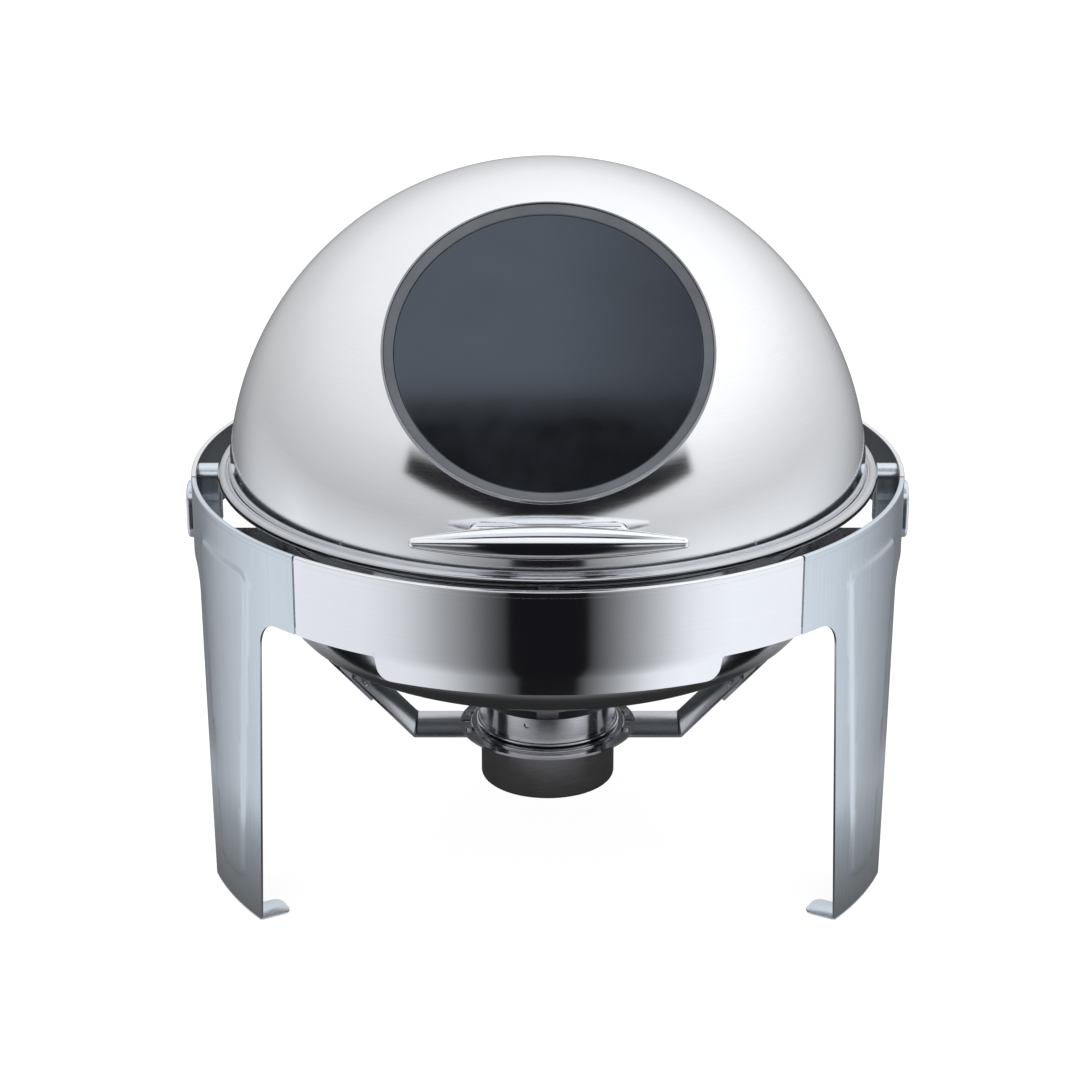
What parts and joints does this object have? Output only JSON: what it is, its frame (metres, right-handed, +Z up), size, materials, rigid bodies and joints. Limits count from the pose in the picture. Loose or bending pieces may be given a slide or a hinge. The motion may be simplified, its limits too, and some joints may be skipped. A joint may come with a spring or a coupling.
{
  "type": "roll top chafer",
  "caption": "Round buffet chafer with a spherical lid that rolls back about a level axis, a smoked window, a water pan, a food pan and a burner cup on a legged steel frame.",
  "frame": {"origin": "on the table, at the centre of the object's footprint, below the centre of the round frame", "axes": "+Z up, -Y towards the front where the window and handle are, +X to the right seen from the front"},
  "size_m": [0.469, 0.466, 0.456],
  "materials": {
    "polished_steel": "mirror-polished stainless steel with fine brushing",
    "leg_steel": "satin stainless steel sheet",
    "dark_steel": "polished stainless steel of the burner, seen in shade",
    "pan_steel": "satin spun stainless steel",
    "hardware_steel": "plain stainless fastener",
    "smoked_glass": "smoked tempered glass",
    "gasket_rubber": "grey silicone rubber",
    "bush_plastic": "white acetal bush"
  },
  "bodies": {
    "frame": {"front_panel": "polished_steel", "rear_panel_left": "polished_steel", "rear_panel_right": "polished_steel", "leg_left": "leg_steel", "leg_right": "leg_steel", "leg_rear": "leg_steel", "seam_straps": "hardware_steel", "hinge_bracket_left": "leg_steel", "hinge_bracket_right": "leg_steel", "pivot_cover_left": "leg_steel", "pivot_cover_right": "leg_steel", "pivot_pin_left": "hardware_steel", "pivot_pin_right": "hardware_steel", "hinge_screws": "hardware_steel", "pivot_clips": "hardware_steel", "water_pan": "pan_steel", "pan_support_left": "hardware_steel", "pan_support_right": "hardware_steel", "pan_support_front": "hardware_steel", "lid_buffer": "gasket_rubber", "burner_arm_left": "polished_steel", "burner_arm_right": "polished_steel", "arm_bracket_left": "pan_steel", "arm_bracket_right": "pan_steel", "arm_rivets": "hardware_steel", "burner_plate": "dark_steel", "plate_screws": "hardware_steel"},
    "lid": {"lid_dome": "polished_steel", "lid_rim": "polished_steel", "lid_ear_left": "hardware_steel", "lid_ear_right": "hardware_steel", "pivot_bush_left": "bush_plastic", "pivot_bush_right": "bush_plastic", "window_glass": "smoked_glass", "window_gasket": "gasket_rubber", "window_trim_ring": "polished_steel", "window_retaining_ring": "hardware_steel", "handle_grip": "polished_steel", "handle_post_left": "polished_steel", "handle_post_right": "polished_steel", "handle_screws": "hardware_steel"},
    "food_pan": {"food_pan": "pan_steel"},
    "burner_cup": {"burner_cup": "dark_steel"},
    "burner_cover": {"burner_cover": "dark_steel", "damper_rivet": "hardware_steel"},
    "burner_damper": {"burner_damper": "dark_steel"}
  },
  "joints": [
    {"name": "lid_roll", "type": "hinge", "parent": "frame", "child": "lid", "pos_m": [0, 0, 0.25], "axis": [-1, 0, 0], "range_deg": [0, 90]},
    {"name": "food_pan_lift", "type": "slide", "parent": "frame", "child": "food_pan", "axis": [0, 0, 1], "range_m": [0, 0.036]},
    {"name": "cup_lift", "type": "slide", "parent": "frame", "child": "burner_cup", "axis": [0, 0, 1], "range_m": [0, 0.012]},
    {"name": "cover_lift", "type": "slide", "parent": "burner_cup", "child": "burner_cover", "axis": [0, 0, 1], "range_m": [0, 0.01]},
    {"name": "damper_swing", "type": "hinge", "parent": "burner_cover", "child": "burner_damper", "pos_m": [0, -0.014, 0.119], "axis": [0, 0, 1], "range_deg": [0, 95]}
  ]
}
